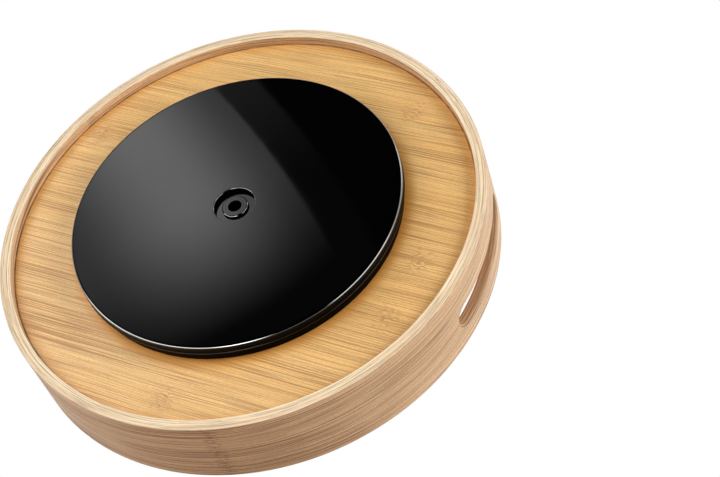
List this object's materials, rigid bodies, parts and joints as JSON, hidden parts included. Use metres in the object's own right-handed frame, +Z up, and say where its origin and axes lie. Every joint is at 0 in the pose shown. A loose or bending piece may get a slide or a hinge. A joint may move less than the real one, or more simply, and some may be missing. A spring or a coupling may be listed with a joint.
{
  "type": "lazy susan turntable",
  "caption": "Round bamboo tray with a raised hoop and two handle slots, turning on a low glossy black ball-bearing base.",
  "frame": {"origin": "on the turning axis, in the flat underside of the base, where it stands on the table", "axes": "+Z up along the turning axis; X through the middles of the two handle slots; Y level, across them"},
  "size_m": [0.305, 0.305, 0.0576],
  "materials": {
    "gloss_black": "polished",
    "satin_black": "satin",
    "track_steel": "pressed and zinc plated",
    "zinc_steel": "zinc plated",
    "ball_steel": "polished",
    "nylon": "moulded",
    "bamboo_panel": "clear satin lacquer over fine straight grain",
    "bamboo_core": "raw",
    "bamboo_strip": "clear satin lacquer"
  },
  "bodies": {
    "base": {"base_plate": "gloss_black", "lower_track": "track_steel", "pivot_pin": "gloss_black", "thrust_washer": "nylon", "retaining_washer": "zinc_steel"},
    "cage": {"ball_cage": "nylon", "bearing_balls": "ball_steel"},
    "tray": {"top_plate": "satin_black", "upper_track": "track_steel", "pivot_bush": "nylon", "mounting_screws": "zinc_steel", "panel_bottom_sheet": "bamboo_panel", "panel_core": "bamboo_core", "panel_top_sheet": "bamboo_panel", "hoop_inner_strip": "bamboo_strip", "hoop_middle_strip": "bamboo_strip", "hoop_outer_strip": "bamboo_strip"}
  },
  "joints": [
    {"name": "tray_spin", "type": "hinge", "parent": "base", "child": "tray", "pos_m": [0, 0, 0.00695], "axis": [0, 0, 1], "continuous": true},
    {"name": "cage_spin", "type": "hinge", "parent": "base", "child": "cage", "pos_m": [0, 0, 0.00695], "axis": [0, 0, 1], "continuous": true}
  ],
  "couplings": [
    {"joint": "cage_spin", "follows": "tray_spin", "ratio": 0.5}
  ]
}
